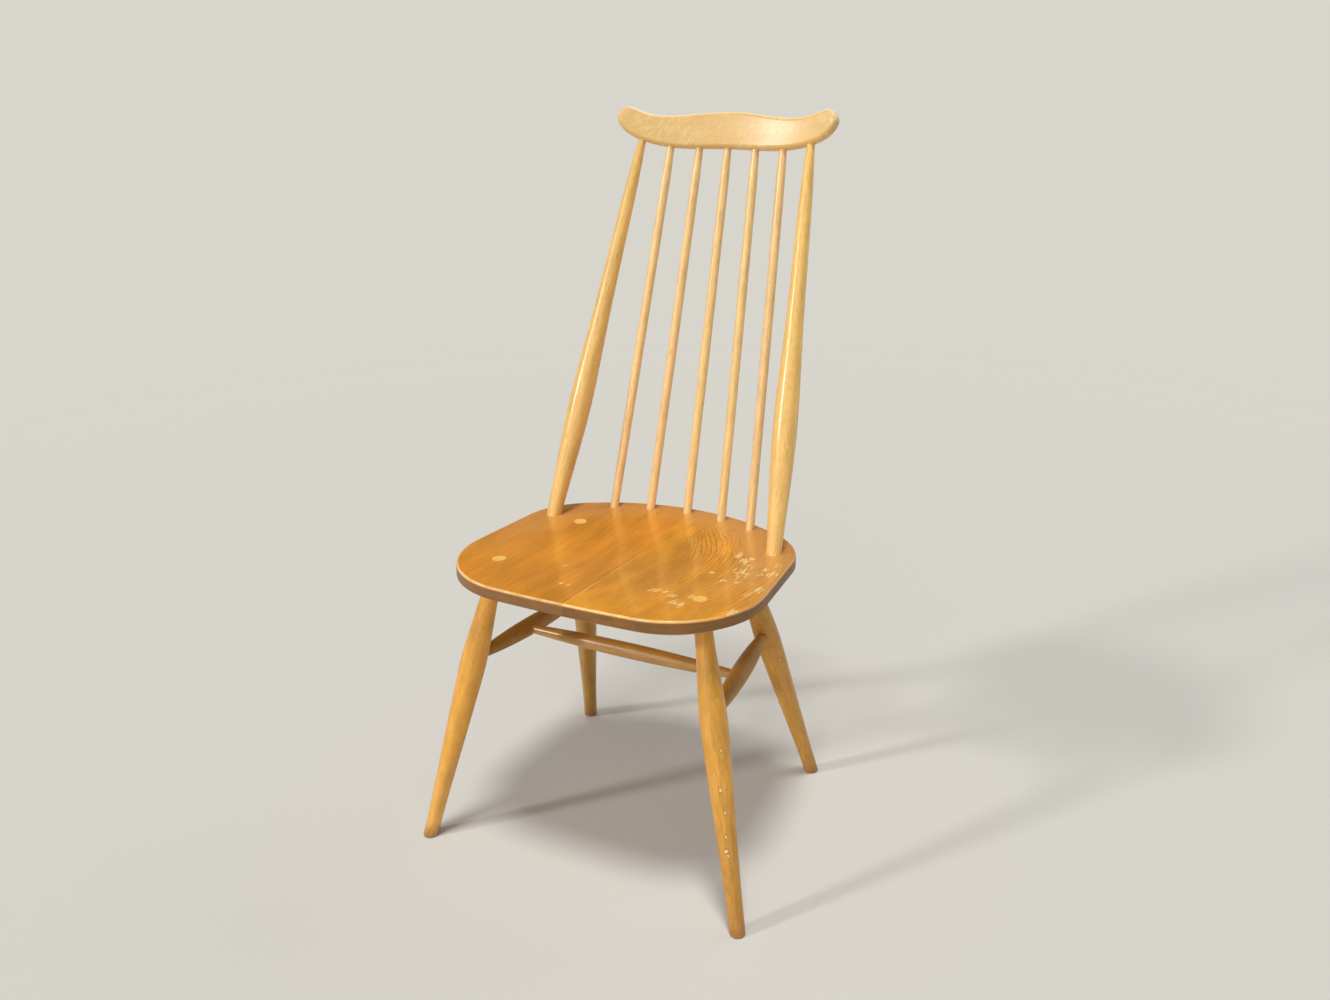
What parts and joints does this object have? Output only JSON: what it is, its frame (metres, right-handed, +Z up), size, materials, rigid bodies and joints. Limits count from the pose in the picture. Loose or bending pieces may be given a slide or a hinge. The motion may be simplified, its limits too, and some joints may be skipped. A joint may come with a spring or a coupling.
{
  "type": "windsor chair",
  "caption": "High-backed stick side chair: dished board seat, splayed turned legs with H stretchers, swelled back posts, slim sticks and a bowed crest rail with upswept ends.",
  "frame": {"origin": "on the floor under the middle of the chair, halfway between its outermost points in X and in Y", "axes": "+Z up; the sitter faces -Y, so the seat front is at -Y and the crest rail leans back to +Y; +X is to the right as seen from the front"},
  "size_m": [0.5152, 0.5528, 1.0001],
  "materials": {
    "elm_seat": "satin varnish over figured elm, worn pale along the edges",
    "beech_undercarriage": "satin varnish over turned beech, worn at the feet",
    "beech_posts": "satin varnish over turned beech",
    "beech_sticks": "thin satin varnish over pale turned beech",
    "beech_crest": "satin varnish over flecked beech",
    "beech_wedges": "end grain under satin varnish"
  },
  "bodies": {
    "root": {"back_left_leg": "beech_undercarriage", "back_left_leg_wedge": "beech_wedges", "back_post_left": "beech_posts", "back_post_left_wedge": "beech_wedges", "back_post_right": "beech_posts", "back_post_right_wedge": "beech_wedges", "back_right_leg": "beech_undercarriage", "back_right_leg_wedge": "beech_wedges", "back_stick_1": "beech_sticks", "back_stick_2": "beech_sticks", "back_stick_3": "beech_sticks", "back_stick_4": "beech_sticks", "back_stick_5": "beech_sticks", "crest_rail": "beech_crest", "cross_stretcher": "beech_undercarriage", "front_left_leg": "beech_undercarriage", "front_left_leg_wedge": "beech_wedges", "front_right_leg": "beech_undercarriage", "front_right_leg_wedge": "beech_wedges", "seat_board_left": "elm_seat", "seat_board_right": "elm_seat", "side_stretcher_left": "beech_undercarriage", "side_stretcher_right": "beech_undercarriage"}
  },
  "joints": []
}
